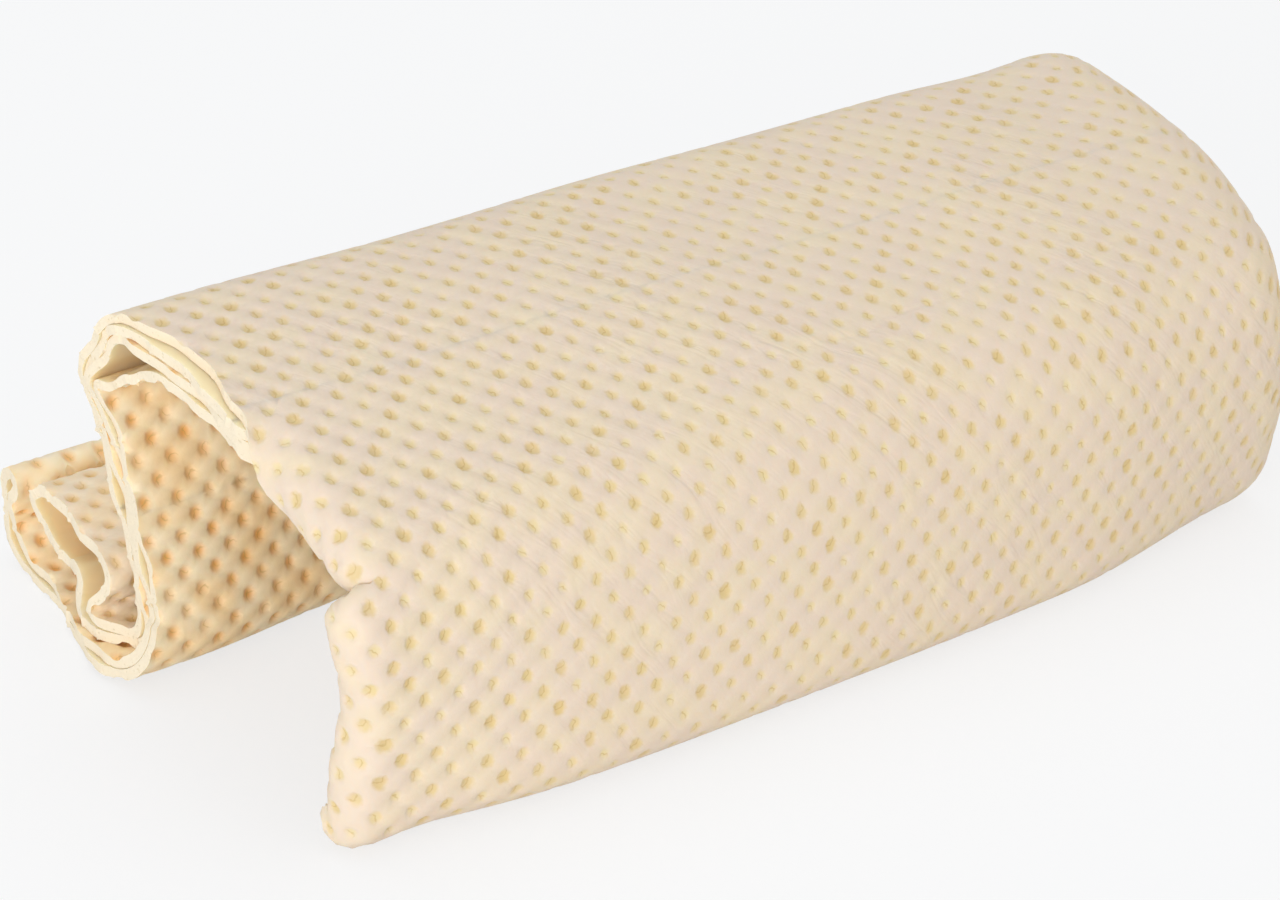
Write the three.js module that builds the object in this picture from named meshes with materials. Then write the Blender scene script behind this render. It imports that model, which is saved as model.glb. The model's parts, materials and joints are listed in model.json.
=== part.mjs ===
// A synthetic chamois: one sheet of PVA sponge, folded in half twice and set down as a loose roll.
// Millimetres, +Z up, X along the roll, with the folded edge at +X and the cut edges at -X. The real
// sheet is one piece. It is divided here at its bends, so that the bends can open.
import * as THREE from 'three';

// Sheet. The roll is half as long as the sheet is wide.
const ROLL_LENGTH = 220;
const PLY_THICKNESS = 2.0;
const PLY_GAP = 0.35;
const SEAM_GAP = 0.3;

// Arch. The radius of a bend is that of its hollow side. Angles are in degrees.
const RIDGE_HEIGHT = 76.5;
const RIDGE_HOLLOW_RADIUS = 6.45;
const TOP_LENGTH = 65;
const TOP_START_ANGLE = 6;
const TOP_END_ANGLE = 20;
const SHOULDER_HOLLOW_RADIUS = 14.95;
const BACK_LEAN_ANGLE = 16;
const FRONT_LEAN_ANGLE = 0;
const HEM_HOLLOW_RADIUS = 1.45;
const HEM_LENGTH = 4;
const FOOT_BEND_RADIUS = 1.6;

// Rear fold, where the two pairs of plies turn back as two loops
const LOWER_RUN_LENGTH = 46;
const UPTURN_HOLLOW_RADIUS = 1.95;
const UPTURN_RISE_LENGTH = 7;
const LOOP_RUN_LENGTH = 14;
const LOOP_CLIMB_ANGLE = 28;
const LOOP_CLIMB_RADIUS = 20;
const LOOP_SLOPE_LENGTH = 10;
const LOOP_STEEP_ANGLE = 62;
const LOOP_STEEP_RADIUS = 12;
const LOOP_RIM_RADIUS = 2.3;
const LOOP_DROP_RADIUS = 6;
const LOOP_FOOT_LENGTH = 4;

// Facets
const ARC_STEPS = 6;
const EDGE_STEPS = 8;
const LEG_POINTS = 18;
const BEND_WEIGHT_LENGTH = 12;
const RIM_POINTS = 5;
const LOFT_STEPS = 6;

const RAD = Math.PI / 180;
const PITCH = PLY_THICKNESS + PLY_GAP;
const STACK = 4 * PLY_THICKNESS + 3 * PLY_GAP;
const EDGE_RADIUS = STACK / 2;
const LEFT = -ROLL_LENGTH / 2;
const RIGHT = ROLL_LENGTH / 2 - EDGE_RADIUS;
const RIDGE_RADIUS = RIDGE_HOLLOW_RADIUS + STACK;
const SHOULDER_RADIUS = SHOULDER_HOLLOW_RADIUS + STACK;
const HEM_RADIUS = HEM_HOLLOW_RADIUS + STACK;
const UPTURN_RADIUS = UPTURN_HOLLOW_RADIUS + STACK;

const OUTER_COLOUR = 0xe8d9c4;
const INNER_COLOUR = 0xecd9b4;

const group = new THREE.Group();

// Adds one named piece with its own material.
function addPiece(name, geometry, colour) {
  const material = new THREE.MeshStandardMaterial({ color: colour, roughness: 0.85, metalness: 0 });
  const mesh = new THREE.Mesh(geometry, material);
  mesh.name = name;
  group.add(mesh);
}

// A path in the YZ plane. A station is a point on the face that shows on the arch, and the direction
// from there into the stack of plies, which is always on the left of the way of travel.
function station(y, z, heading) {
  return { y, z, heading, ny: -Math.sin(heading * RAD), nz: Math.cos(heading * RAD) };
}

function straight(from, length) {
  const y = from.y + length * Math.cos(from.heading * RAD);
  const z = from.z + length * Math.sin(from.heading * RAD);
  return station(y, z, from.heading);
}

// Turns left by a positive angle and right by a negative one, at a radius on the path itself.
function turned(from, radius, angle) {
  const side = Math.sign(angle);
  const centreY = from.y + side * radius * from.ny;
  const centreZ = from.z + side * radius * from.nz;
  const end = station(0, 0, from.heading + angle);
  return station(centreY - side * radius * end.ny, centreZ - side * radius * end.nz, end.heading);
}

function arcStations(from, radius, angle, steps) {
  const list = [];
  for (let i = 0; i <= steps; i += 1) {
    list.push(i === 0 ? from : turned(from, radius, angle * i / steps));
  }
  return list;
}

// Points are x and the depth in the stack, measured from the face that shows on the arch. The folded
// edge at +X is a half ring, one ply thick, that joins two plies at equal depths from both faces.
function edgeArc(radius) {
  const points = [];
  for (let i = 0; i <= EDGE_STEPS; i += 1) {
    const turn = Math.PI * i / EDGE_STEPS;
    points.push([RIGHT + radius * Math.sin(turn), EDGE_RADIUS - radius * Math.cos(turn)]);
  }
  return points;
}

function foldedEdge(depth) {
  const radius = EDGE_RADIUS - depth;
  return [...edgeArc(radius), ...edgeArc(radius - PLY_THICKNESS).reverse()];
}

// Two plies in one: a flat leg on each side of the stack, and the folded edge between them.
function plyPair(depth) {
  const edge = foldedEdge(depth);
  const half = edge.length / 2;
  const far = STACK - depth;
  const outerLeg = [[LEFT, depth], ...edge.slice(0, half), [LEFT, far]];
  return [...outerLeg, [LEFT, far - PLY_THICKNESS], ...edge.slice(half), [LEFT, depth + PLY_THICKNESS]];
}

// Joins closed rings of points, all with the same count, into one closed solid.
function solidFromRings(rings, capPoints) {
  const count = rings[0].length;
  const positions = rings.flat(2);
  const faces = [];
  for (let ring = 0; ring + 1 < rings.length; ring += 1) {
    for (let i = 0; i < count; i += 1) {
      const a = ring * count + i;
      const b = ring * count + (i + 1) % count;
      faces.push([a, b, b + count], [a, b + count, a + count]);
    }
  }
  const outline = capPoints.map(([u, v]) => new THREE.Vector2(u, v));
  const last = (rings.length - 1) * count;
  for (const [a, b, c] of THREE.ShapeUtils.triangulateShape(outline, [])) {
    faces.push([c, b, a], [a + last, b + last, c + last]);
  }
  return closedGeometry(positions, faces);
}

// Turns the faces outwards if the solid came out inside out.
function closedGeometry(positions, faces) {
  const corner = (i) => new THREE.Vector3(positions[3 * i], positions[3 * i + 1], positions[3 * i + 2]);
  let volume = 0;
  for (const [a, b, c] of faces) {
    volume += corner(a).dot(corner(b).cross(corner(c)));
  }
  const outward = volume > 0 ? faces : faces.map(([a, b, c]) => [a, c, b]);
  const geometry = new THREE.BufferGeometry();
  geometry.setAttribute('position', new THREE.Float32BufferAttribute(positions, 3));
  geometry.setIndex(outward.flat());
  geometry.computeVertexNormals();
  return geometry;
}

function sweep(section, stations) {
  const rings = stations.map((s) => section.map(([x, n]) => [x, s.y + n * s.ny, s.z + n * s.nz]));
  return solidFromRings(rings, section);
}

const OUTER_PLIES = plyPair(0);
const INNER_PLIES = plyPair(PITCH);

// One stretch of the folded sheet: the outer pair of plies, and the inner pair that lies inside it.
function addStretch(name, stations) {
  addPiece(`${name}_outer_plies`, sweep(OUTER_PLIES, stations), OUTER_COLOUR);
  addPiece(`${name}_inner_plies`, sweep(INNER_PLIES, stations), INNER_COLOUR);
}

// Route of the arch, from the ground up the back, over the top and down the front
const footStart = station(0, STACK, 180);
const footTurn = -(90 + BACK_LEAN_ANGLE);
const backStart = turned(footStart, FOOT_BEND_RADIUS, footTurn);
const ridgeTurn = 90 + BACK_LEAN_ANGLE + TOP_START_ANGLE;
const ridgeCentreZ = RIDGE_HEIGHT - RIDGE_RADIUS;
const backEndZ = ridgeCentreZ - RIDGE_RADIUS * Math.sin(BACK_LEAN_ANGLE * RAD);
const backLength = (backEndZ - backStart.z) / Math.cos(BACK_LEAN_ANGLE * RAD);
const ridgeStart = straight(backStart, backLength);
const topStart = turned(ridgeStart, RIDGE_RADIUS, ridgeTurn);
const topTurn = TOP_END_ANGLE - TOP_START_ANGLE;
const topRadius = TOP_LENGTH / (topTurn * RAD);
const shoulderStart = turned(topStart, topRadius, topTurn);
const shoulderTurn = 90 + FRONT_LEAN_ANGLE - TOP_END_ANGLE;
const frontStart = turned(shoulderStart, SHOULDER_RADIUS, shoulderTurn);
const hemStartZ = HEM_RADIUS * (1 - Math.sin(FRONT_LEAN_ANGLE * RAD));
const frontLength = (frontStart.z - hemStartZ) / Math.cos(FRONT_LEAN_ANGLE * RAD);
const hemStart = straight(frontStart, frontLength);
const hemTurn = 90 - FRONT_LEAN_ANGLE;
const hemEnd = turned(hemStart, HEM_RADIUS, hemTurn);

// A hinge line lies on the outer face at the middle of its bend, so opening the bend parts the plies.
function halfBends(from, radius, angle) {
  const hollowRadius = radius - STACK;
  const clear = SEAM_GAP / 2 / hollowRadius / RAD;
  const half = angle / 2 - clear;
  const second = turned(from, radius, angle / 2 + clear);
  return [arcStations(from, radius, half, ARC_STEPS), arcStations(second, radius, half, ARC_STEPS)];
}

function straightStretch(from, length) {
  const start = straight(from, SEAM_GAP);
  return [start, straight(start, length - 2 * SEAM_GAP)];
}

const [ridgeRear, ridgeFront] = halfBends(ridgeStart, RIDGE_RADIUS, ridgeTurn);
const [shoulderUpper, shoulderLower] = halfBends(shoulderStart, SHOULDER_RADIUS, shoulderTurn);
const topClear = SEAM_GAP / topRadius / RAD;
const topFrom = turned(topStart, topRadius, topClear);

addStretch('foot_bend', arcStations(footStart, FOOT_BEND_RADIUS, footTurn, ARC_STEPS));
addStretch('back_wall', straightStretch(backStart, backLength));
addStretch('ridge_rear', ridgeRear);
addStretch('ridge_front', ridgeFront);
addStretch('top_panel', arcStations(topFrom, topRadius, topTurn - 2 * topClear, ARC_STEPS));
addStretch('shoulder_upper', shoulderUpper);
addStretch('shoulder_lower', shoulderLower);
addStretch('front_wall', straightStretch(frontStart, frontLength));
addStretch('front_bend', arcStations(hemStart, HEM_RADIUS, hemTurn, ARC_STEPS));
addStretch('front_hem', [straight(hemEnd, SEAM_GAP), straight(hemEnd, HEM_LENGTH)]);

// Rear fold. Each pair of plies runs back along the ground and returns, joined at its rim.
function route(start, moves) {
  const list = [start];
  for (const { length, radius, angle } of moves) {
    const from = list[list.length - 1];
    if (radius === undefined) {
      list.push(straight(from, length));
    } else {
      list.push(...arcStations(from, radius, angle, 2 * ARC_STEPS).slice(1));
    }
  }
  return list;
}

// Spreads a count of stations along a route, closer together where it bends.
function spread(stations, count) {
  const travelled = [0];
  for (let i = 1; i < stations.length; i += 1) {
    const step = Math.hypot(stations[i].y - stations[i - 1].y, stations[i].z - stations[i - 1].z);
    const bend = Math.abs(stations[i].heading - stations[i - 1].heading) * RAD;
    travelled.push(travelled[i - 1] + step + BEND_WEIGHT_LENGTH * bend);
  }
  const total = travelled[travelled.length - 1];
  const list = [];
  for (let i = 0; i < count; i += 1) {
    const want = total * i / (count - 1);
    let k = 1;
    while (k < travelled.length - 1 && travelled[k] < want) {
      k += 1;
    }
    const share = (want - travelled[k - 1]) / (travelled[k] - travelled[k - 1]);
    const mix = (key) => stations[k - 1][key] + share * (stations[k][key] - stations[k - 1][key]);
    list.push(station(mix('y'), mix('z'), mix('heading')));
  }
  return list;
}

// The middle line of a ply pair: out along one leg, round the rim and back along the other leg.
function loopLine(start, outward, rimRadius, rimAngle, inward) {
  const out = route(start, outward);
  const rim = arcStations(out[out.length - 1], rimRadius, rimAngle, RIM_POINTS + 1);
  const back = route(rim[rim.length - 1], inward(rim[rim.length - 1]));
  return [...spread(out, LEG_POINTS), ...rim.slice(1, -1), ...spread(back, LEG_POINTS)];
}

// The closed outline of a ply pair, half a ply to each side of its middle line.
function loopOutline(line) {
  const half = PLY_THICKNESS / 2;
  const side = (n) => line.map((s) => [s.y + n * s.ny, s.z + n * s.nz]);
  return [...side(-half), ...side(half).reverse()];
}

// Legs that lie flat on the ground, turn up together and meet at a tight rim
function pressedLoop(depth) {
  const low = depth + PLY_THICKNESS / 2;
  const high = low + PITCH;
  const start = station(SEAM_GAP, low, 0);
  const outward = [
    { length: LOWER_RUN_LENGTH - SEAM_GAP },
    { radius: UPTURN_RADIUS - low, angle: 90 },
    { length: UPTURN_RISE_LENGTH },
  ];
  const inward = () => [
    { length: UPTURN_RISE_LENGTH },
    { radius: UPTURN_RADIUS - high, angle: -90 },
    { length: LOWER_RUN_LENGTH - SEAM_GAP },
  ];
  return loopLine(start, outward, PITCH / 2, 180, inward);
}

// Legs that part from the ground and bulge open, as at the cut end
function openLoop(depth) {
  const low = depth + PLY_THICKNESS / 2;
  const high = low + PITCH;
  const start = station(SEAM_GAP, low, 0);
  const outward = [
    { length: LOOP_RUN_LENGTH - SEAM_GAP },
    { radius: LOOP_CLIMB_RADIUS, angle: LOOP_CLIMB_ANGLE },
    { length: LOOP_SLOPE_LENGTH },
    { radius: LOOP_STEEP_RADIUS, angle: LOOP_STEEP_ANGLE - LOOP_CLIMB_ANGLE },
  ];
  const inward = (rim) => {
    const settle = rim.z - LOOP_DROP_RADIUS - high;
    return [
      { length: rim.y - LOOP_DROP_RADIUS - settle - LOOP_FOOT_LENGTH },
      { radius: LOOP_DROP_RADIUS, angle: 90 },
      { radius: settle, angle: -90 },
      { length: LOOP_FOOT_LENGTH - SEAM_GAP },
    ];
  };
  return loopLine(start, outward, LOOP_RIM_RADIUS, 180 - LOOP_STEEP_ANGLE, inward);
}

const LOOP_RIGHT = RIGHT - SEAM_GAP;
const lowerOutline = loopOutline(pressedLoop(0));
const lowerRings = [LEFT, LOOP_RIGHT].map((x) => lowerOutline.map(([y, z]) => [x, y, z]));
addPiece('lower_rear_loop', solidFromRings(lowerRings, lowerOutline), OUTER_COLOUR);

// The upper loop is open at the cut end and pressed flat at the folded edge.
const openOutline = loopOutline(openLoop(2 * PITCH));
const pressedOutline = loopOutline(pressedLoop(2 * PITCH));
const upperRings = [];
for (let i = 0; i <= LOFT_STEPS; i += 1) {
  const share = THREE.MathUtils.smoothstep(i, 0, LOFT_STEPS);
  const x = LEFT + (LOOP_RIGHT - LEFT) * i / LOFT_STEPS;
  upperRings.push(openOutline.map(([y, z], k) => {
    const [toY, toZ] = pressedOutline[k];
    return [x, y + share * (toY - y), z + share * (toZ - z)];
  }));
}
addPiece('upper_rear_loop', solidFromRings(upperRings, openOutline), OUTER_COLOUR);

// The folded edge that closes the +X end of the rear fold, in an outer and an inner ply
const rearEdgeRoute = route(station(SEAM_GAP, STACK, 0), [
  { length: LOWER_RUN_LENGTH - SEAM_GAP },
  { radius: UPTURN_HOLLOW_RADIUS, angle: 90 },
  { length: UPTURN_RISE_LENGTH },
]).map((s) => ({ ...s, ny: -s.ny, nz: -s.nz }));
addPiece('rear_edge_outer_ply', sweep(foldedEdge(0), rearEdgeRoute), OUTER_COLOUR);
addPiece('rear_edge_inner_ply', sweep(foldedEdge(PITCH), rearEdgeRoute), INNER_COLOUR);

// The origin is on the ground, at the middle of the whole roll.
const box = new THREE.Box3().setFromObject(group);
const middle = box.getCenter(new THREE.Vector3());
group.position.set(-middle.x, -middle.y, -box.min.z);

export default group;
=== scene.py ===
# %% [markdown]
# # A folded synthetic chamois
#
# The object is one soft sheet of PVA sponge, about 54 by 44 cm, with a grid of round dimples pressed into
# one face. It is folded in half, folded in half again, and the pad of four plies is then bent into an arch.
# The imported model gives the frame: its bodies, its bends and its outer box. Everything below is in
# millimetres until it becomes a mesh.

# %% Load the frame
import json
import math
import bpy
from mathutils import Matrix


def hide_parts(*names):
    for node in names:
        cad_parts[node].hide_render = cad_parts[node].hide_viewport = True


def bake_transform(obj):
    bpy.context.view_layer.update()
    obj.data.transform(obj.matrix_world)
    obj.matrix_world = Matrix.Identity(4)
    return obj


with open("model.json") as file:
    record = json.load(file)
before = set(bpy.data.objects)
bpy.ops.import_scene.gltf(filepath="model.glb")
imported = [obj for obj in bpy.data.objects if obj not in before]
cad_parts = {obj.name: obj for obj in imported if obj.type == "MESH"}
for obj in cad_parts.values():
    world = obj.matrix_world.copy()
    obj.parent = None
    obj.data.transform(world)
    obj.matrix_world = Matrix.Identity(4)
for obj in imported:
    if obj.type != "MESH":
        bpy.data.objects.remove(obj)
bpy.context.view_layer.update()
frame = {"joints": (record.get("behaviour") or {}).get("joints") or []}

from types import SimpleNamespace
import bpy
import numpy as np
from mathutils.geometry import delaunay_2d_cdt

MM = 0.001
joint_places = {joint["name"]: joint["pos_m"] for joint in frame["joints"]}

# %% [markdown]
# ## The camera
#
# The roll is seen from its open left end and from above. Eye point and lens were worked out from the
# perspective of the roll's edges, so the camera is placed by numbers. Putting it first means that every
# later piece is judged from the same place.

# %% Place the camera
FOOT_Y = joint_places["foot_bend"][1] / MM
CAMERA_PLACE = (-339.3, FOOT_Y - 493.9, 335.7)
CAMERA_DOWN = 28.2
CAMERA_AROUND = 35.0
LENS = 92.8
SENSOR_WIDTH = 36.0
NEAREST = 10.0

camera_data = bpy.data.cameras.new("chamois_camera")
camera_data.lens = LENS
camera_data.sensor_width = SENSOR_WIDTH
camera_data.clip_start = NEAREST * MM
camera = bpy.data.objects.new("chamois_camera", camera_data)
camera.location = [value * MM for value in CAMERA_PLACE]
camera.rotation_euler = (math.radians(90.0 - CAMERA_DOWN), 0.0, math.radians(-CAMERA_AROUND))
bpy.context.scene.collection.objects.link(camera)
bpy.context.scene.camera = camera
print("camera at", [round(value, 4) for value in camera.location])

# %% [markdown]
# ## Small helpers
#
# Soft things are described with soft numbers. `ease` goes from 0 to 1 without a corner, `fade` goes back,
# `plateau` does one and then the other, and `hump` rises and falls once. Below, a name with SPAN, RISE or
# FALL holds the start and the end of such a step, and one with SPOT the middle and half width of a hump.

# %% Soft steps and humps
def ease(value, start, end):
    share = np.clip((value - start) / (end - start), 0.0, 1.0)
    return share * share * (3.0 - 2.0 * share)


def fade(value, start, end):
    return 1.0 - ease(value, start, end)


def plateau(value, rise, fall):
    return ease(value, *rise) * fade(value, *fall)


def hump(value, middle, half_width):
    return np.exp(-((value - middle) / half_width) ** 2)


print("a soft step at its quarter points", ease(np.array([0.25, 0.5, 0.75]), 0.0, 1.0))

# %% [markdown]
# ## The path of the pad
#
# Seen from the open end, the pad of four plies follows one line: a tucked hem, the front wall, the
# shoulder, the top, the ridge, the back wall, the foot bend, and a flat run that ends in the rear folds.
# The line is a list of moves, each a length and a turn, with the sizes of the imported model. The walked
# line is then slid until its foot bend sits on the model's foot joint.

# %% Walk the path
LEFT_END = -110.0
RIGHT_END = 114.5
PLY = 2.0
DAMP_PLY = 2.25
PLY_STEP = 2.35
STACK = 3.0 * PLY_STEP + PLY
RIDGE_HEIGHT = 76.5
RIDGE_RADIUS = 15.5
TOP_LENGTH = 65.0
TOP_SLOPES = (6.0, 20.0)
SHOULDER_RADIUS = 24.0
BACK_LEAN = 16.0
HEM_RADIUS = 10.5
HEM_LENGTH = 4.0
FOOT_RADIUS = 1.6
LOWER_RUN = 46.0
UPTURN_RADIUS = 1.95
UPTURN_RISE = 7.0
WALK_POINTS = 8000


def sine(degrees):
    return math.sin(math.radians(degrees))


def cosine(degrees):
    return math.cos(math.radians(degrees))


def bend(radius, degrees):
    return (radius * math.radians(abs(degrees)), degrees)


top_radius = TOP_LENGTH / math.radians(TOP_SLOPES[1] - TOP_SLOPES[0])
back_top = RIDGE_HEIGHT - RIDGE_RADIUS * (1.0 + sine(BACK_LEAN))
back_bottom = STACK + FOOT_RADIUS * (1.0 + sine(BACK_LEAN))
front_top = RIDGE_HEIGHT - RIDGE_RADIUS * (1.0 - cosine(TOP_SLOPES[0]))
front_top -= top_radius * (cosine(TOP_SLOPES[0]) - cosine(TOP_SLOPES[1]))
front_top -= SHOULDER_RADIUS * cosine(TOP_SLOPES[1])

MOVES = {
    "hem": (HEM_LENGTH, 0.0),
    "front_bend": bend(HEM_RADIUS, -90.0),
    "front_wall": (front_top - HEM_RADIUS, 0.0),
    "shoulder": bend(SHOULDER_RADIUS, -(90.0 - TOP_SLOPES[1])),
    "top": bend(top_radius, -(TOP_SLOPES[1] - TOP_SLOPES[0])),
    "ridge": bend(RIDGE_RADIUS, -(90.0 + BACK_LEAN + TOP_SLOPES[0])),
    "back_wall": ((back_top - back_bottom) / cosine(BACK_LEAN), 0.0),
    "foot": bend(FOOT_RADIUS, 90.0 + BACK_LEAN),
    "lower_run": (LOWER_RUN, 0.0),
    "upturn": bend(UPTURN_RADIUS, 90.0),
    "rise": (UPTURN_RISE, 0.0),
}
marks = np.concatenate([[0.0], np.cumsum([move[0] for move in MOVES.values()])])
mark_headings = 180.0 + np.concatenate([[0.0], np.cumsum([move[1] for move in MOVES.values()])])
MARK = SimpleNamespace(**dict(zip(MOVES, marks[:-1])))
PATH_END = float(marks[-1])

walk_at = np.linspace(0.0, PATH_END, WALK_POINTS)
walk_heading = np.radians(np.interp(walk_at, marks, mark_headings))
walk_turning = np.gradient(walk_heading, walk_at)
half_way = 0.5 * (walk_heading[1:] + walk_heading[:-1])
walk_y = np.concatenate([[0.0], np.cumsum(np.cos(half_way) * np.diff(walk_at))])
walk_z = np.concatenate([[0.0], np.cumsum(np.sin(half_way) * np.diff(walk_at))])

foot_heading = np.interp(MARK.foot, walk_at, walk_heading)
foot_centre_y = np.interp(MARK.foot, walk_at, walk_y) - FOOT_RADIUS * math.sin(foot_heading)
walk_y += FOOT_Y - foot_centre_y
print("path", round(PATH_END, 2), "mm, rear end at", round(walk_y[-1], 2), round(walk_z[-1], 2))

# %% [markdown]
# ## Along and across the sheet
#
# A point of the sheet has two numbers. `across` runs from the outer ply's cut border at the open left end,
# round the fold at the right end, and back to the innermost ply's border. `along` starts at the outer hem,
# follows the path to the rear fold and returns to the inner hem. The two folds are then only two ways of
# turning back.

# %% Sizes of the two folds
OUTER_DEPTH = 1.5 * PLY_STEP
INNER_DEPTH = 0.5 * PLY_STEP
WRAP_REACH = 12.0
INNER_WRAP_REACH = 8.0
END_SWELL = 2.0
RIM_RADIUS = 0.5 * PLY_STEP
RIM_HALF = 0.5 * math.pi * RIM_RADIUS
WRAP_POINTS = 400

LEG = RIGHT_END - 0.5 * PLY - WRAP_REACH - LEFT_END
wrap_angles = np.linspace(0.0, math.pi, WRAP_POINTS)
wrap_x = WRAP_REACH * np.sin(wrap_angles)
wrap_n = (OUTER_DEPTH + END_SWELL) * np.cos(wrap_angles)
wrap_lengths = np.concatenate([[0.0], np.cumsum(np.hypot(np.diff(wrap_x), np.diff(wrap_n)))])
WIDTH = 2.0 * LEG + wrap_lengths[-1]
TURN_BACK = PATH_END + RIM_HALF
LENGTH = 2.0 * TURN_BACK
print("flat sheet", round(WIDTH, 1), "by", round(LENGTH, 1), "mm")


def path_place(along):
    """Distance on the path, and how far a point has turned round the rear fold, from 0 to pi."""
    past = along - TURN_BACK
    turned = np.clip(0.5 * math.pi + past / RIM_RADIUS, 0.0, math.pi)
    distance = PATH_END - np.maximum(np.abs(past) - RIM_HALF, 0.0)
    return distance, turned


def second_share(turned):
    """0 before the rear fold and 1 after it."""
    return 0.5 * (1.0 - np.cos(turned))


def wrap_place(across):
    """Turn round the right end, from 0 to pi, and the place along the roll before that."""
    angle = np.interp(across - LEG, wrap_lengths, wrap_angles)
    straight = np.where(across < 0.5 * WIDTH, across, WIDTH - across)
    return angle, LEFT_END + np.minimum(straight, LEG)


# %% [markdown]
# ## The cut borders at the open end
#
# The four cut borders are never flush on a real fold: they creep past each other at the bends. Behind the
# foot they stick out, on the back wall they are nearly flush, on the top the outer one stays back, and on
# the front the outer ply rolls in over its own border, with one sharp pinch. A table of edge points would
# do, but a few soft humps say it better.

# %% Where each border lies
STICK_OUT = 6.9
STICK_OUT_SPOT = (MARK.lower_run, 25.0)
OUTER_STICK_OUT_SPAN = (MARK.foot - 1.5, MARK.lower_run + 12.0)
INNER_STICK_OUT_SPAN = (MARK.foot - 1.5, MARK.lower_run + 1.0)
REAR_STICK_OUT = 1.6
REAR_SPAN = (MARK.lower_run + 18.0, PATH_END)
RIDGE_STICK_OUT = 2.2
RIDGE_SPOT = (MARK.back_wall - 3.0, 8.0)
PINCH_AT = MARK.shoulder + 18.0
PINCH_DEPTH = 3.8
PINCH_WIDTH = 2.0
PINCH_SPAN = (0.5, 6.5)
SET_BACK = 4.6
SET_BACK_RISE = (PINCH_AT - 4.0, PINCH_AT)
SET_BACK_FALL = (MARK.top + 40.0, MARK.ridge + 18.0)
TOP_RECESS = 3.2
TOP_RECESS_SPOT = (MARK.top + 49.0, 12.0)
FRONT_RECESS = 13.0
FRONT_WAIST = 1.9
WAIST_SPOT = (MARK.front_wall + 20.0, 9.0)
FRONT_FLARE = 1.3
FLARE_SPAN = (MARK.front_bend + 2.0, MARK.front_wall + 3.0)
HEM_RECESS = 14.0
HEM_SPAN = (MARK.hem, MARK.front_bend + 6.5)
CURL_LENGTH = 11.0
CURL_RADIUS = 5.0
CURL_SPAN = (MARK.top + 12.0, MARK.top + 32.0)
BORDER_WAVES = ((0.45, 5.3, 1.7), (0.25, 2.1, 3.0))
TOOTH_LENGTH = 0.55
TOOTH_RATES = (2.3, 0.37)


def front_pinch(at):
    return PINCH_DEPTH * np.exp(-np.abs(at - PINCH_AT) / PINCH_WIDTH)


def border_sweep(along, inner):
    """How far a border stays behind the left end, measured on the sheet. Below zero, it sticks out."""
    at, turned = path_place(along)
    second = second_share(turned)
    first = 1.0 - second
    past_foot = ease(at, *(INNER_STICK_OUT_SPAN if inner else OUTER_STICK_OUT_SPAN))
    sweep = -STICK_OUT * hump(at, *STICK_OUT_SPOT) * past_foot
    sweep -= REAR_STICK_OUT * ease(at, *REAR_SPAN)
    sweep -= RIDGE_STICK_OUT * hump(at, *RIDGE_SPOT)
    sweep += SET_BACK * ease(at, *SET_BACK_RISE) * fade(at, *SET_BACK_FALL)
    front = fade(at, *CURL_SPAN)
    if inner:
        return sweep + FRONT_RECESS * front
    hem = HEM_RECESS * fade(at, *HEM_SPAN)
    waist = FRONT_WAIST * hump(at, *WAIST_SPOT)
    flare = FRONT_FLARE * fade(at, *FLARE_SPAN)
    rolled = CURL_RADIUS - CURL_LENGTH + 0.5 * PLY + waist - flare + front_pinch(at)
    bare = TOP_RECESS * hump(at, *TOP_RECESS_SPOT)
    return sweep + first * (rolled * front + bare + hem) + second * FRONT_RECESS * front


def border_recess(along, inner):
    """The sweep of a border with the slow waves of a cut edge, and a few torn teeth."""
    at, turned = path_place(along)
    second = second_share(turned)
    ply = 3.0 - second if inner else second
    wave = sum(height * np.sin(at / length + shift * ply) for height, length, shift in BORDER_WAVES)
    tooth = np.sin(TOOTH_RATES[0] * along + 2.0 * ply) * np.sin(TOOTH_RATES[1] * along + ply)
    return border_sweep(along, inner) + wave - TOOTH_LENGTH * np.maximum(tooth, 0.0) ** 6


def left_border(along):
    return border_recess(along, False)


def right_border(along):
    return WIDTH - border_recess(along, True)


print("border at the pinch", np.round(left_border(PINCH_AT + np.array([-8.0, 0.0, 8.0])), 2))

# %% [markdown]
# ## The open mouths of the rear folds
#
# At the right the plies are pressed together, but at the open end the rear folds gape in two loops. Each
# loop is a smooth curve through listed points, in mm behind the foot joint and above the floor. It starts
# and ends where the plies lie anyway, so a share of the open shape can be mixed with the pressed one.

# %% Curves of the two loops
UPPER_LOOP = (
    (0.0, 8.05), (4.4, 8.4), (7.2, 9.4), (8.0, 12.0), (5.6, 15.4), (4.0, 18.8), (5.4, 21.6),
    (9.4, 22.6), (15.0, 22.8), (22.0, 23.8), (29.5, 24.4), (34.6, 24.1), (37.6, 22.8),
    (38.1, 20.4), (36.9, 17.5), (33.7, 14.6), (29.7, 12.9), (24.2, 12.0), (20.6, 14.6), (18.0, 13.2),
    (18.0, 9.6), (16.2, 6.8), (10.9, 5.9), (0.0, 5.7),
)
UPPER_RIM = 12
LOWER_LOOP = (
    (0.0, 1.0), (18.0, 1.0), (43.4, 1.15), (48.6, 2.6), (52.6, 6.6), (54.2, 11.6), (54.4, 15.8),
    (53.4, 19.0), (50.8, 21.2), (47.9, 20.3), (47.4, 18.5), (49.4, 15.0), (49.4, 10.0), (48.0, 6.8),
    (43.4, 4.0), (34.0, 3.5), (18.0, 3.4), (0.0, 3.35),
)
LOWER_RIM = 8
CURVE_STEPS = 24


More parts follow.
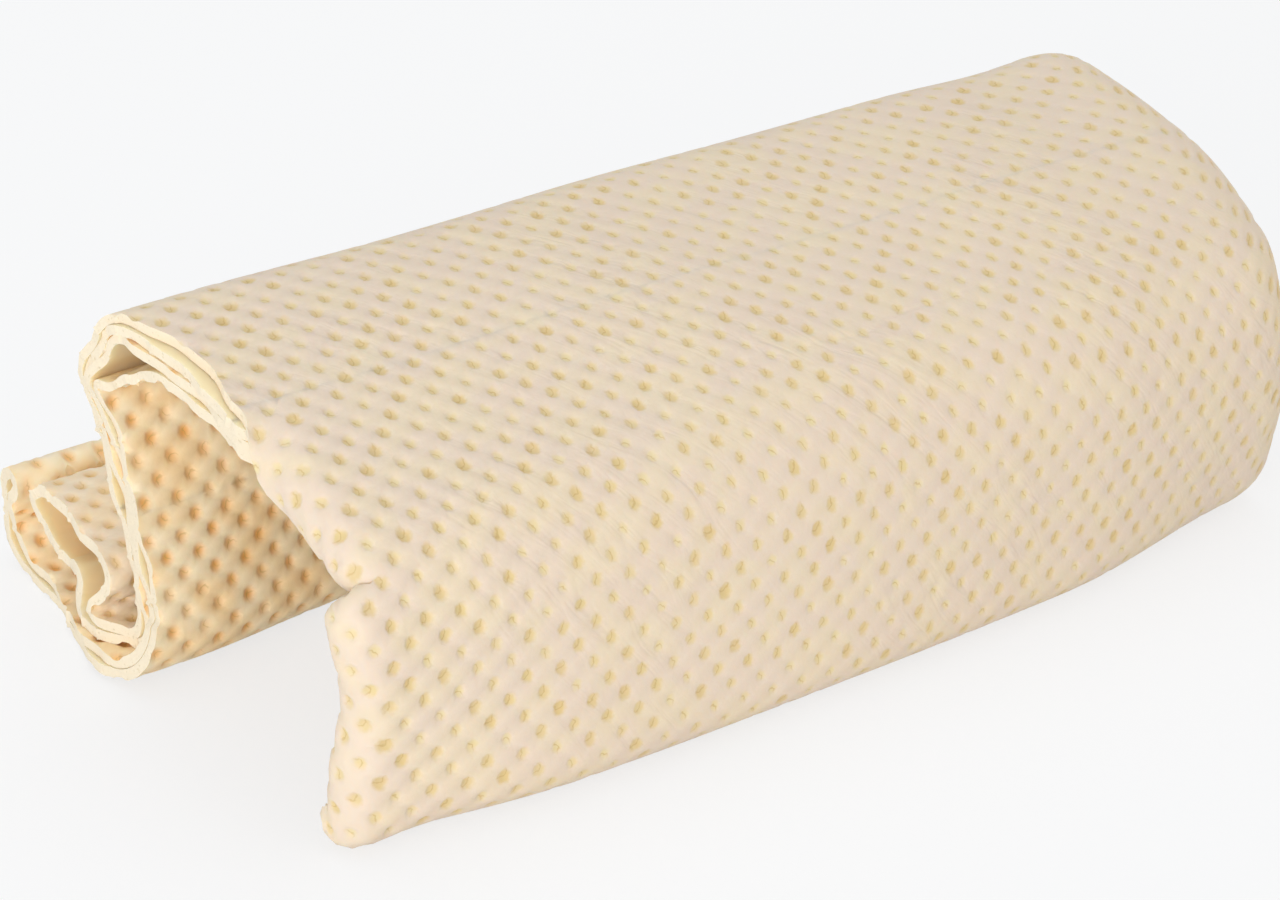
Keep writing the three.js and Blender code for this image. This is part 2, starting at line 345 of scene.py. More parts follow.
def smooth_curve(points, rim):
    """Fine points of a curve through the given ones, with a share that is one half at the rim."""
    knots = np.array(points)
    padded = np.vstack([2.0 * knots[0] - knots[1], knots, 2.0 * knots[-1] - knots[-2]])
    part = np.linspace(0.0, 1.0, CURVE_STEPS, endpoint=False)[:, None]
    fine = []
    for first, second, third, fourth in zip(padded[:-3], padded[1:-2], padded[2:-1], padded[3:]):
        curve = 2.0 * second + (third - first) * part
        curve = curve + (2.0 * first - 5.0 * second + 4.0 * third - fourth) * part ** 2
        curve = curve + (3.0 * second - first - 3.0 * third + fourth) * part ** 3
        fine.append(0.5 * curve)
    fine = np.vstack(fine + [knots[-1:]])
    reach = np.concatenate([[0.0], np.cumsum(np.hypot(*np.diff(fine, axis=0).T))])
    share = np.interp(reach, [0.0, reach[CURVE_STEPS * rim], reach[-1]], [0.0, 0.5, 1.0])
    return share, fine[:, 0] + FOOT_Y, fine[:, 1]


loops = {False: smooth_curve(UPPER_LOOP, UPPER_RIM), True: smooth_curve(LOWER_LOOP, LOWER_RIM)}
print("loop points", len(UPPER_LOOP), len(LOWER_LOOP))

# %% [markdown]
# ## What loosens the fold
#
# A neat fold would look like sheet metal. Small depths and shifts make it cloth: slow waves all over, gaps
# between the plies at the open end, a chamfered ridge with a drooping innermost ply, a front that bellies
# and tucks in at its corners, and a right end that reaches out. Cloth simulation could find such forms,
# but not these ones.

# %% Depths and shifts
LEFT_SPAN = (LEFT_END, LEFT_END + 70.0)
SLOW_WAVE = 0.6
QUICK_WAVE = 0.35
ARCH_RISE = (MARK.front_bend, MARK.front_wall + 6.0)
ARCH_FALL = (MARK.foot - 16.0, MARK.foot)
LEFT_SAG = 0.4
SAG_RISE = (MARK.shoulder + 14.0, MARK.top + 8.0)
SAG_FALL = (MARK.ridge + 14.0, MARK.back_wall)
RIDGE_WAVES = ((-62.0, 40.0, 1.0), (48.0, 26.0, -0.5), (92.0, 15.0, 1.3))
RIDGE_WAVE_SPOT = (MARK.ridge + 10.0, 24.0)
RIDGE_CHAMFER = 2.0
CHAMFER_SPOT = (MARK.ridge + 17.0, 6.5)
RIDGE_SQUEEZE = 0.2
SQUEEZE_SPOT = (MARK.ridge + 12.0, 15.0)
SQUEEZE_SPAN = (LEFT_END, LEFT_END + 50.0)
WALL_GAPS = ((22.0, 0.9), (3.0, 0.2), (33.0, 0.5))
WALL_GAP_WIDTH = 7.0
HEM_SQUARE = 2.0
HEM_SQUARE_SPAN = (LEFT_END - 4.0, LEFT_END + 20.0)
DROOP = 5.6
DROOP_WAY = (-0.29, -0.957)
DROOP_SPAN = (3.0, 42.0)
DROOP_RISE = (MARK.ridge - 10.0, MARK.ridge + 5.0)
DROOP_FALL = (MARK.ridge + 8.0, MARK.back_wall + 1.0)
PLEAT_SHARE = 0.15
PLEAT_LENGTH = 0.65
PLEAT_SPAN = (0.0, 6.0)
FRONT_BULGE = 2.5
BULGE_MIDDLE = 5.0
BULGE_HALF = 85.0
BULGE_SPAN = (MARK.front_wall + 12.0, MARK.top)
LEFT_TUCK = 3.6
LEFT_TUCK_SPAN = (LEFT_END, LEFT_END + 46.0)
RIGHT_TUCK = 6.2
RIGHT_TUCK_SPAN = (52.0, 106.0)
TUCK_SPAN = (MARK.front_bend + 4.0, MARK.shoulder)
FOOT_BACK = 5.0
FOOT_BACK_SPAN = (LEFT_END + 5.0, LEFT_END + 50.0)
FOOT_BACK_SPOT = (MARK.foot, 25.0)
TOP_REACH = 8.0
TOP_REACH_RISE = (MARK.shoulder + 16.0, MARK.top + 34.0)
TOP_REACH_FALL = (MARK.back_wall, MARK.foot)
SHOULDER_SHORT = 3.0
SHOULDER_SPOT = (MARK.shoulder + 10.0, 14.0)


def ply_shares(turned, angle):
    """How much a point belongs to the outer ply, and to the innermost one."""
    first = 0.5 * (1.0 + np.cos(turned))
    outer = 0.5 * (1.0 + np.cos(angle))
    return first * outer, first * (1.0 - outer)


def unevenness(x, at):
    slow = SLOW_WAVE * np.sin(x / 33.0 + 0.6) * np.sin(at / 21.0 + 1.1)
    return slow + QUICK_WAVE * np.sin(x / 15.0 + at / 27.0 + 2.0) * np.cos(at / 17.0)


def hem_square(x, at):
    """The front bend is pressed to a sharp corner near the open end."""
    turn = np.clip((MARK.front_wall - at) / HEM_RADIUS, 0.0, 0.5 * math.pi)
    return HEM_SQUARE * np.sin(2.0 * turn) * fade(x, *HEM_SQUARE_SPAN)


def squeezed(x, at):
    """Share of their thickness that the plies keep. They are drawn tight round the ridge at the open end."""
    return 1.0 - RIDGE_SQUEEZE * hump(at, *SQUEEZE_SPOT) * fade(x, *SQUEEZE_SPAN)


def loose_depth(x, at, turned, angle):
    """Extra depth of a point below the outer face, in mm, on top of the neat stack."""
    outer, innermost = ply_shares(turned, angle)
    near_left = fade(x, *LEFT_SPAN)
    depth = unevenness(x, at) * plateau(at, ARCH_RISE, ARCH_FALL)
    depth = depth + LEFT_SAG * near_left * plateau(at, SAG_RISE, SAG_FALL)
    for place, width, drop in RIDGE_WAVES:
        depth = depth + drop * hump(x, place, width) * hump(at, *RIDGE_WAVE_SPOT)
    depth = depth - hem_square(x, at) + RIDGE_CHAMFER * near_left * hump(at, *CHAMFER_SPOT)
    level = 3.0 * innermost + 0.5 * (1.0 - outer - innermost) * (3.0 - np.cos(angle))
    for ply, (place, gap) in enumerate(WALL_GAPS):
        opened = gap * near_left * hump(at, MARK.back_wall + place, WALL_GAP_WIDTH)
        depth = depth + opened * np.clip(level - ply, 0.0, 1.0)
    return depth


def ridge_droop(inset, at, innermost):
    """The innermost ply cuts the ridge's corner at its border. Further in it follows it, in pleats."""
    reach = fade(inset, *DROOP_SPAN)
    width = plateau(at, DROOP_RISE, DROOP_FALL)
    pleats = 1.0 + PLEAT_SHARE * ease(inset, *PLEAT_SPAN) * np.sin(at / PLEAT_LENGTH)
    return DROOP * reach * width * innermost * pleats


def front_shift(x, at):
    """The front wall bellies forwards in the middle of the roll, and its lower corners tuck in."""
    belly = -FRONT_BULGE * (1.0 - ((x - BULGE_MIDDLE) / BULGE_HALF) ** 2) * fade(at, *BULGE_SPAN)
    tuck = LEFT_TUCK * fade(x, *LEFT_TUCK_SPAN) + RIGHT_TUCK * ease(x, *RIGHT_TUCK_SPAN)
    return belly + tuck * fade(at, *TUCK_SPAN)


def foot_shift(x, at):
    """The foot bend runs backwards a little, away from the open end."""
    return FOOT_BACK * ease(x, *FOOT_BACK_SPAN) * hump(at, *FOOT_BACK_SPOT)


def right_reach(at):
    """Extra reach of the rounded right end, which is longest at the ridge and shortest at the front."""
    reach = TOP_REACH * plateau(at, TOP_REACH_RISE, TOP_REACH_FALL)
    return reach - SHOULDER_SHORT * hump(at, *SHOULDER_SPOT)


print("reach of the right end at the ridge", round(float(right_reach(MARK.ridge)), 2), "mm")

# %% [markdown]
# ## Folding the sheet
#
# Now one function carries a point of the flat sheet to its place in the folded roll. It finds the place in
# the neat stack with its loose depth, rolls the outer border in, lays the stack along the path, and mixes in
# the open loops behind the foot.

# %% The fold as one function
OPEN_LENGTH = 155.0
MOUTH_SPAN = (LEFT_END - 5.0, LEFT_END + OPEN_LENGTH)
SWELL_SPAN = (62.0, 98.0)
LEVEL_SPAN = (MARK.back_wall + 8.0, MARK.foot)
REACH_SPAN = (60.0, 112.0)
FOOT_LIFT = 1.5
FOOT_LIFT_SPOT = (MARK.foot, 15.0)


def stack_place(x, at, turned, angle):
    """Place along the roll, and depth in the stack of plies below its outer face."""
    second = second_share(turned)
    x = x + (WRAP_REACH + (INNER_WRAP_REACH - WRAP_REACH) * second) * np.sin(angle)
    half_depth = OUTER_DEPTH + (INNER_DEPTH - OUTER_DEPTH) * second
    swell = END_SWELL * ease(x, *SWELL_SPAN)
    half_depth = half_depth * (1.0 + swell / OUTER_DEPTH)
    level = 1.0 - 2.0 * ease(at, *LEVEL_SPAN)
    stacked = 0.5 * STACK + swell * level - half_depth * np.cos(angle)
    return x, stacked * squeezed(x, at) + loose_depth(x, at, turned, angle)


def roll_in(x, depth, across, along, at, outer):
    """Rolls the outer ply's border inwards on the shoulder and the front wall."""
    share = outer * fade(at, *CURL_SPAN)
    border = border_sweep(along, False)
    smoothed = border - front_pinch(at) * ease(across - border, *PINCH_SPAN)
    rolled = np.clip(smoothed + CURL_LENGTH - across, 0.0, None)
    radius = CURL_RADIUS / np.maximum(share, 0.001)
    turn = rolled / radius
    return x + rolled - radius * np.sin(turn), depth + radius * (1.0 - np.cos(turn))


def open_loops(x, y, z, across, along):
    """Mixes the open loops into the pressed rear folds, all at the open end and none at the right."""
    tail = TURN_BACK - MARK.lower_run
    share = (along - MARK.lower_run) / (2.0 * tail)
    gape = fade(x, *MOUTH_SPAN) * ((share > 0.0) & (share < 1.0))
    for inner, (curve_share, curve_y, curve_z) in loops.items():
        mine = gape * ((across > 0.5 * WIDTH) == inner)
        y = y + mine * (np.interp(share, curve_share, curve_y) - y)
        z = z + mine * (np.interp(share, curve_share, curve_z) - z)
    return y, z


def folded(across, along):
    """Middle of the sheet's thickness at points of the flat sheet, in mm."""
    at, turned = path_place(along)
    angle, x = wrap_place(across)
    x, depth = stack_place(x, at, turned, angle)
    outer, innermost = ply_shares(turned, angle)
    x, depth = roll_in(x, depth, across, along, at, outer)
    x = x + right_reach(at) * ease(x, *REACH_SPAN)
    heading = np.interp(at, walk_at, walk_heading)
    reach = RIM_RADIUS * np.sin(turned)
    droop = ridge_droop(WIDTH - border_sweep(along, True) - across, at, innermost)
    y = np.interp(at, walk_at, walk_y) + reach * np.cos(heading) + depth * np.sin(heading)
    y = y + front_shift(x, at) + foot_shift(x, at) + DROOP_WAY[0] * droop
    z = np.interp(at, walk_at, walk_z) + reach * np.sin(heading) - depth * np.cos(heading)
    z = z + DROOP_WAY[1] * droop
    y, z = open_loops(x, y, z, across, along)
    z = z + FOOT_LIFT * fade(x, *LEFT_SPAN) * hump(at, *FOOT_LIFT_SPOT)
    return np.stack([x, y, z], axis=-1)


corner = folded(np.array([0.0, 110.0]), np.array([100.0, 100.0]))
print("two points of the top", np.round(corner, 1).tolist())

# %% [markdown]
# ## The dimples
#
# The dots are pressed into the sponge on a grid that is turned against the sheet's edges and a little
# skewed. They are shallow oval pits, and no two are quite alike. A bump map could fake them, but the pits
# throw shade and break the silhouette, so each dot gets three rings of points, and the face is sunk by a
# formula. Use has pressed the dots nearly flat on the front, and one long crease runs along the shoulder.

# %% The dimple grid
DOT_PITCH = 5.1
DOT_ROWS = (math.radians(-46.0), math.radians(35.5))
GRID_SPREAD = math.sin(DOT_ROWS[1] - DOT_ROWS[0])
CROSSED = tuple(zip((1.0, -1.0), DOT_ROWS[::-1]))
TO_ACROSS = [sign * math.sin(turn) * DOT_PITCH / GRID_SPREAD for sign, turn in CROSSED]
TO_LENGTH = [-sign * math.cos(turn) * DOT_PITCH / GRID_SPREAD for sign, turn in CROSSED]
LAY_POINTS = 20000
LEAST_STRETCH = 0.15
HALVINGS = 40
HASH = (12.9898, 78.233, 43758.5453)

lay_at = np.linspace(0.0, LENGTH, LAY_POINTS)
lay_path, lay_turned = path_place(lay_at)
lay_turning = np.interp(lay_path, walk_at, walk_turning)
dotted_depth_outer = second_share(lay_turned) * (2.0 * PLY + PLY_STEP - PLY)
dotted_depth_inner = STACK - dotted_depth_outer


def laid_length(depth):
    stretch = np.clip(1.0 + depth * lay_turning, LEAST_STRETCH, None)
    return np.concatenate([[0.0], np.cumsum(stretch[1:] * np.diff(lay_at))])


laid_outer = laid_length(dotted_depth_outer)
laid_inner = laid_length(dotted_depth_inner)


def laid(across, along):
    """Distance along the dotted face, which is not the same on the outside and the inside of a bend."""
    share = ease(across, LEG, WIDTH - LEG)
    outer = np.interp(along, lay_at, laid_outer)
    return outer * (1.0 - share) + np.interp(along, lay_at, laid_inner) * share


def unlaid(across, length):
    """Back from a distance along the dotted face to a place along the sheet, by halving."""
    low = np.zeros_like(across)
    high = np.full_like(across, LENGTH)
    for _ in range(HALVINGS):
        middle = 0.5 * (low + high)
        short = laid(across, middle) < length
        low = np.where(short, middle, low)
        high = np.where(short, high, middle)
    return 0.5 * (low + high)


def grid_place(across, length):
    """Steps of the dot grid along its two directions, which cross at a little less than a right angle."""
    column, row = [across * math.cos(turn) + length * math.sin(turn) for turn in DOT_ROWS]
    return column / DOT_PITCH, row / DOT_PITCH


def sheet_place(column, row):
    """Back from steps of the grid to mm across and along the dotted face."""
    across = column * TO_ACROSS[0] + row * TO_ACROSS[1]
    return across, column * TO_LENGTH[0] + row * TO_LENGTH[1]


def dot_chance(column, row):
    """A value from 0 to 1 that looks random and is the same on each run."""
    wild = np.sin(column * HASH[0] + row * HASH[1]) * HASH[2]
    return wild - np.floor(wild)


print("length of the dotted face, outside and inside", np.round([laid_outer[-1], laid_inner[-1]], 1))

# %% Depth of the dots and the crease
DOT_SHAPE = (0.92, 1.1)
DOT_DEPTH = 0.72
DOT_FLOOR = 0.6
DOT_LIP = 2.0
LEAST_DOT = 0.8
DOT_RANGE = 0.4
RINGS = ((0.6, 6), (1.2, 8), (1.9, 8))
DOT_SPARE = 12.0
LONG_SPARE = 60.0
WORN_SHARE = 0.42
FRESH_REACH = (55.0, 85.0)
FRESH_SPAN = (MARK.shoulder, MARK.top + 20.0)
PRESSED_FLAT = 0.75
PRESSED_SPAN = (MARK.foot - 6.0, MARK.lower_run)
CREASE_AT = 84.0
CREASE_WAVES = ((0.9, 7.0), (0.5, 2.9))
CREASE_DEPTH = 0.24
CREASE_WIDTH = 0.6
CREASE_RISE = (76.0, 90.0)
CREASE_FALL = (178.0, 200.0)
CREASE_STEP = 0.8
CREASE_LINES = 5


def inner_share(across, along):
    """0 on the outer ply and 1 on all plies inside it."""
    _, turned = path_place(along)
    angle, _ = wrap_place(across)
    return 1.0 - ply_shares(turned, angle)[0]


def pressing(across, along):
    """Share of the full depth that the dots still have."""
    reach = FRESH_REACH[0] + FRESH_REACH[1] * ease(along, *FRESH_SPAN)
    fresh = np.maximum(inner_share(across, along), fade(across, 0.0, reach))
    at, turned = path_place(along)
    pressed = second_share(turned) * fade(at, *PRESSED_SPAN)
    return (WORN_SHARE + (1.0 - WORN_SHARE) * fresh) * (1.0 - PRESSED_FLAT * pressed)


def crease_line(across):
    line = CREASE_AT
    for height, length in CREASE_WAVES:
        line = line + height * np.sin(across / length)
    return line


def crease(across, length):
    """Depth of the long crease, which fades in and out on its way."""
    depth = CREASE_DEPTH * plateau(across, CREASE_RISE, CREASE_FALL) * (0.6 + 0.4 * np.sin(across / 9.0))
    return depth * hump(length, crease_line(across), CREASE_WIDTH)


def dimple(across, along):
    """Height of the dotted face, in mm: zero between the dots and below zero in them."""
    length = laid(across, along)
    column, row = grid_place(across, length)
    near_column, near_row = np.round(column), np.round(row)
    aside, ahead = sheet_place(column - near_column, row - near_row)
    distance = np.hypot(aside / DOT_SHAPE[0], ahead / DOT_SHAPE[1])
    size = (LEAST_DOT + DOT_RANGE * dot_chance(near_column, near_row)) * pressing(across, along)
    return -DOT_DEPTH * size * fade(distance, DOT_FLOOR, DOT_LIP) - crease(across, length)


def crease_points():
    across = np.repeat(np.arange(CREASE_RISE[0] - 2.0, CREASE_FALL[1] + 2.0, CREASE_STEP), CREASE_LINES)
    aside = np.tile(np.linspace(-1.5, 1.5, CREASE_LINES) * CREASE_WIDTH, len(across) // CREASE_LINES)
    return across, crease_line(across) + aside


def dot_points(start, end):
    """Points of the flat sheet for all dots whose place along the sheet lies between start and end."""
    reach = int(1.5 * max(WIDTH, LENGTH) / DOT_PITCH)
    steps = np.arange(-reach, reach + 1, dtype=float)
    column, row = [grid.ravel() for grid in np.meshgrid(steps, steps)]
    offsets = [(0.0, 0.0), sheet_place(0.5, 0.5)]
    for radius, count in RINGS:
        for turn in np.arange(count) * 2.0 * math.pi / count:
            offsets.append((radius * math.cos(turn) * DOT_SHAPE[0], radius * math.sin(turn) * DOT_SHAPE[1]))
    offsets = np.array(offsets)
    middle_across, middle_length = sheet_place(column, row)
    across = (middle_across[:, None] + offsets[:, 0]).ravel()
    length = (middle_length[:, None] + offsets[:, 1]).ravel()
    inside = (across > -DOT_SPARE) & (across < WIDTH + DOT_SPARE)
    inside &= (length > -DOT_SPARE) & (length < LENGTH + LONG_SPARE)
    across, length = np.hstack([(across[inside], length[inside]), crease_points()])
    along = unlaid(across, length)
    inside = (along > start) & (along < end)
    return across[inside], along[inside]


print("points for one dot", 2 + sum(count for _, count in RINGS))

# %% [markdown]
# ## From points to a mesh
#
# The flat sheet is filled with triangles first, because there nothing overlaps. A constrained Delaunay
# triangulation joins a border line and the points inside it. The dotted face gets the dimple points, the
# smooth face a coarse grid, and both have the same border, so narrow quads can close the cut edge. The
# flat points are then carried to their folded places.

# %% Rows and columns that are close where the sheet bends
FINE_ROWS = 6000
FINE_COLUMNS = 3000
BORDER_ROW = (0.7, 6.0)
BORDER_COLUMN = (1.5, 9.0)
ROW_DEGREES = 9.0
COLUMN_DEGREES = 12.0
COLUMN_RATIO = 1.6
COLUMN_SPARE = 8.0
WELD = 1e-5
TINY = 0.01


def even_steps(cost, values):
    total = np.concatenate([[0.0], np.cumsum(cost)])
    count = max(2, int(math.ceil(total[-1])))
    return np.interp(np.linspace(0.0, total[-1], count + 1), total, values)


def rows_between(start, end, gap, degrees):
    values = np.linspace(start, end, FINE_ROWS)
    at, turned = path_place(values)
    heading = np.interp(at, walk_at, walk_heading)
    turn = np.abs(np.diff(heading)) + np.abs(np.diff(turned))
    return even_steps(np.diff(values) / gap + np.degrees(turn) / degrees, values)


def columns_between(start, end, gap, degrees):
    values = np.linspace(start, end, FINE_COLUMNS)
    angle, _ = wrap_place(values)
    return even_steps(np.diff(values) / gap + np.degrees(np.abs(np.diff(angle))) / degrees, values)


def border_rows(start, end):
    return rows_between(start, end, *BORDER_ROW)


def border_columns(along):
    return columns_between(left_border(along), right_border(along), *BORDER_COLUMN)


def grid_points(start, end, gap):
    rows = rows_between(start, end, gap, ROW_DEGREES)
    columns = columns_between(-COLUMN_SPARE, WIDTH + COLUMN_SPARE, gap * COLUMN_RATIO, COLUMN_DEGREES)
    across, along = np.meshgrid(columns, rows)
    return across.ravel(), along.ravel()


print("points of one long border", len(border_rows(0.0, LENGTH)))

# %% Fill a border with triangles
def border_line(start, end):
    """Closed border of a piece on the flat sheet, and which of its points are cut and not on a seam."""
    rows = border_rows(start, end)
    low = border_columns(start)
    high = border_columns(end)[::-1]
    across = np.concatenate([low[:-1], right_border(rows)[:-1], high[:-1], left_border(rows)[::-1][:-1]])
    along = np.concatenate([
        np.full(len(low) - 1, start), rows[:-1], np.full(len(high) - 1, end), rows[::-1][:-1],
    ])
    sides = (start < TINY, True, end > LENGTH - TINY, True)
    return across, along, np.repeat(sides, [len(line) - 1 for line in (low, rows, high, rows)])


def within_borders(places, start, end):
    rows = border_rows(start, end)
    low, high = border_columns(start), border_columns(end)
    left = np.interp(places[:, 1], laid(left_border(rows), rows), left_border(rows))
    right = np.interp(places[:, 1], laid(right_border(rows), rows), right_border(rows))
    bottom = np.interp(places[:, 0], low, laid(low, start))
    top = np.interp(places[:, 0], high, laid(high, end))
    inside = (places[:, 0] > left) & (places[:, 0] < right)
    return inside & (places[:, 1] > bottom) & (places[:, 1] < top)


def fill(border, across, along, start, end, margin):
    """Triangles over the border and the points inside it, with the border's points first."""
    edge_across, edge_along = border
    inside = (along > start + margin) & (along < end - margin)
    inside &= (across > left_border(along) + margin) & (across < right_border(along) - margin)
    across = np.concatenate([edge_across, across[inside]])
    along = np.concatenate([edge_along, along[inside]])
    places = np.stack([across, laid(across, along)], axis=-1)
    outline = [list(range(len(edge_across)))]
    _, _, faces, origins, _, _ = delaunay_2d_cdt(places.tolist(), [], outline, 1, WELD, True)
    faces = np.array([origin[0] for origin in origins])[np.array(faces)]
    return across, along, faces[within_borders(places[faces].mean(axis=1), start, end)]


print("border points of the rear folds", len(border_line(MARK.foot, LENGTH - MARK.foot)[0]))

# %% Points off the middle of the sheet
NUDGE = 0.04
SHADE_STEP = 5.0 * NUDGE
LOOSE_SWELL = 0.4
UPPER_FREE = 44.0
LOWER_FREE = 20.0
FREE_FADE = 8.0


def unit(vectors):
    return vectors / np.maximum(np.linalg.norm(vectors, axis=1, keepdims=True), 1e-9)


def facing(points_of, across, along, step):
    """Direction out of a face, from four of its points close by."""
    ahead = points_of(across, along + step) - points_of(across, along - step)
    aside = points_of(across + step, along) - points_of(across - step, along)
    return unit(np.cross(aside, ahead))


def face_points(across, along, height):
    """Points at a height off the middle of the sheet. The floor presses the lowest ply flat."""
    points = folded(across, along) + facing(folded, across, along, NUDGE) * height[:, None]
    points[:, 2] = np.maximum(points[:, 2], 0.0)
    return points


def half_ply(across, along):
    """Half the sheet's thickness. The sponge swells in the rear folds, where no other ply presses on it."""
    reach = np.where(across < 0.5 * WIDTH, UPPER_FREE, LOWER_FREE)
    free = fade(np.abs(along - TURN_BACK), reach - FREE_FADE, reach)
    at, _ = path_place(along)
    _, x = wrap_place(across)
    return 0.5 * (DAMP_PLY * squeezed(x, at) + LOOSE_SWELL * free)


def dotted_points(across, along):
    return face_points(across, along, half_ply(across, along) + dimple(across, along))


def smooth_points(across, along):
    return face_points(across, along, -half_ply(across, along))


print("thickness on the top", round(2.0 * float(half_ply(WIDTH / 4.0, MARK.top)), 2), "mm")

# %% [markdown]
# ## The five pieces
#
# A mesh that follows two bodies can only cross one bend, and the roll opens at its shoulder, its ridge and
# its foot. So the sheet is made in five pieces that meet on straight seams halfway between the bends. The
# two outer pieces hold the outer ply and, round the right end, the innermost one. The two inner pieces
# hold the two plies between, and the rear folds join all four.

# %% Marks on a mesh
DOTTED, SMOOTH, CUT = 0, 1, 2


def loop_corners(mesh):
    corners = np.empty(len(mesh.loops), dtype=np.int32)
    mesh.loops.foreach_get("vertex_index", corners)
    return corners


def painted_warm_shade_share(across, along):
    """Painted warm shade where the sponge is shut in: full inside the arch, less outside the rear folds."""
    at, turned = path_place(along)
    angle, _ = wrap_place(across)
    outer, innermost = ply_shares(turned, angle)
    tail = ease(at, MARK.foot, MARK.lower_run + 6.0)
    return inner_share(across, along) + tail * (0.5 * outer - 0.5 * innermost)


def add_grid_map(mesh, across, along):
    """A UV map in dimple steps, so that a whole number is the middle of a dot, and the share of painted warm
    shade.
    """
    column, row = grid_place(across, laid(across, along))
    places = np.stack([column, row], axis=-1)[loop_corners(mesh)]
    mesh.uv_layers.new(name="dimple_grid").data.foreach_set("uv", places.ravel().astype(np.float32))
    # This attribute holds the share of painted warm shade inside the roll.
    inside = mesh.attributes.new("inside", "FLOAT", "POINT")
    inside.data.foreach_set("value", painted_warm_shade_share(across, along).astype(np.float32))


def shade_seam(mesh, kinds, points, directions):
    """Shades the dotted face at a seam as if the sheet went on, so that two pieces meet without a line."""
    lookup = np.zeros((len(mesh.vertices), 3))
    lookup[points] = directions
    sizes = np.empty(len(mesh.polygons), dtype=np.int32)
    mesh.polygons.foreach_get("loop_total", sizes)
    mine = np.repeat(kinds == DOTTED, sizes)
    normals = np.where(mine[:, None], lookup[loop_corners(mesh)], 0.0)
    mesh.normals_split_custom_set(normals.tolist())


print("kinds of face", DOTTED, SMOOTH, CUT)

# %% Build one piece
EDGE_ROWS = 2
EDGE_ROUGHNESS = 0.2
EDGE_MIDDLE = 0.35
PLAIN_GAP = 4.0
SMOOTH_GAP = 3.0
FINE_GAP = 1.2
DOTTED_MARGIN = 0.3
SMOOTH_MARGIN = 0.6
SHARP_ANGLE = 62.0


def edge_rows(front, back, cut):
    """Rows between the two faces. On a cut the sponge's pores make them uneven."""
    along_edge = np.roll(front, -1, axis=0) - np.roll(front, 1, axis=0)
    outwards = unit(np.cross(along_edge, front - back))
    count = np.arange(len(front), dtype=float)
    rows = []
    for row in range(1, EDGE_ROWS + 1):
        share = row / (EDGE_ROWS + 1.0)
        rough = (dot_chance(count, row) - EDGE_MIDDLE) * EDGE_ROUGHNESS
        rows.append(front + (back - front) * share + outwards * (rough * cut)[:, None])
    return rows


def edge_quads(count, front_count):
    """Quads from the dotted face's border, over the rows of the edge, to the smooth face's border."""
    ring = np.arange(count)
    following = np.roll(ring, -1)
    starts = [0] + [front_count + row * count for row in range(EDGE_ROWS + 1)]
    return np.vstack([
        np.stack([near + ring, far + ring, far + following, near + following], axis=-1)
        for near, far in zip(starts[:-1], starts[1:])])


def build_piece(name, start, end, last_dot, smooth_gap):
    edge_across, edge_along, cut = border_line(start, end)
    border = (edge_across, edge_along)
    scattered = np.hstack([grid_points(start, end, PLAIN_GAP), dot_points(start, min(end, last_dot))])
    coarse = grid_points(start, end, smooth_gap)
    front_across, front_along, front_faces = fill(border, *scattered, start, end, DOTTED_MARGIN)
    back_across, back_along, back_faces = fill(border, *coarse, start, end, SMOOTH_MARGIN)
    front = dotted_points(front_across, front_along)
    back = smooth_points(back_across, back_along)
    count = len(edge_across)
    points = np.vstack([front] + edge_rows(front[:count], back[:count], cut) + [back])
    quads = edge_quads(count, len(front))
    back_faces = back_faces[:, ::-1] + len(front) + EDGE_ROWS * count
    faces = front_faces.tolist() + quads.tolist() + back_faces.tolist()
    counts = [len(front_faces), len(quads), len(back_faces)]
    kinds = np.repeat([DOTTED, CUT, SMOOTH], counts).astype(np.int32)
    mesh = bpy.data.meshes.new(name)
    mesh.from_pydata((points * MM).tolist(), [], faces)
    mesh.polygons.foreach_set("material_index", kinds)
    flat_across = np.concatenate([front_across] + [edge_across] * EDGE_ROWS + [back_across])
    flat_along = np.concatenate([front_along] + [edge_along] * EDGE_ROWS + [back_along])
    add_grid_map(mesh, flat_across, flat_along)
    mesh.polygons.foreach_set("use_smooth", np.ones(len(faces), dtype=bool))
    mesh.set_sharp_from_angle(angle=math.radians(SHARP_ANGLE))
    mesh.update()
    seam = np.nonzero(~cut)[0]
    shade_seam(mesh, kinds, seam, facing(dotted_points, edge_across[seam], edge_along[seam], SHADE_STEP))
    piece = bpy.data.objects.new(name, mesh)
    bpy.context.scene.collection.objects.link(piece)
    print(name, len(points), "points", sum(counts) + len(quads), "triangles")
    return piece


# %% Make the pieces
MID_TOP = 0.5 * (MARK.top + MARK.ridge)
MID_BACK = 0.5 * (MARK.back_wall + MARK.foot)
STRETCHES = {
    "outer_ply_front": (0.0, MID_TOP),
    "outer_ply_back": (MID_TOP, MID_BACK),
    "rear_folds": (MID_BACK, LENGTH - MID_BACK),
    "inner_ply_back": (LENGTH - MID_BACK, LENGTH - MID_TOP),
    "inner_ply_front": (LENGTH - MID_TOP, LENGTH),
}
# No dots are modelled where plies hide them.
LAST_DOTS = {"rear_folds": LENGTH - MARK.lower_run, "inner_ply_back": 0.0, "inner_ply_front": 0.0}
pieces = {}
for name, (start, end) in STRETCHES.items():
    smooth_gap = FINE_GAP if name == "outer_ply_back" else SMOOTH_GAP
    pieces[name] = build_piece(name, start, end, LAST_DOTS.get(name, LENGTH), smooth_gap)

# %% [markdown]
# ## Colours and nodes
#
# PVA sponge is a pale cream foam, and light sinks a little way in, which keeps its shadows warm. Colours
# are written as sRGB codes, and one function makes them linear. A material is a small tree of nodes, so
# one more function adds a node with its settings and links.

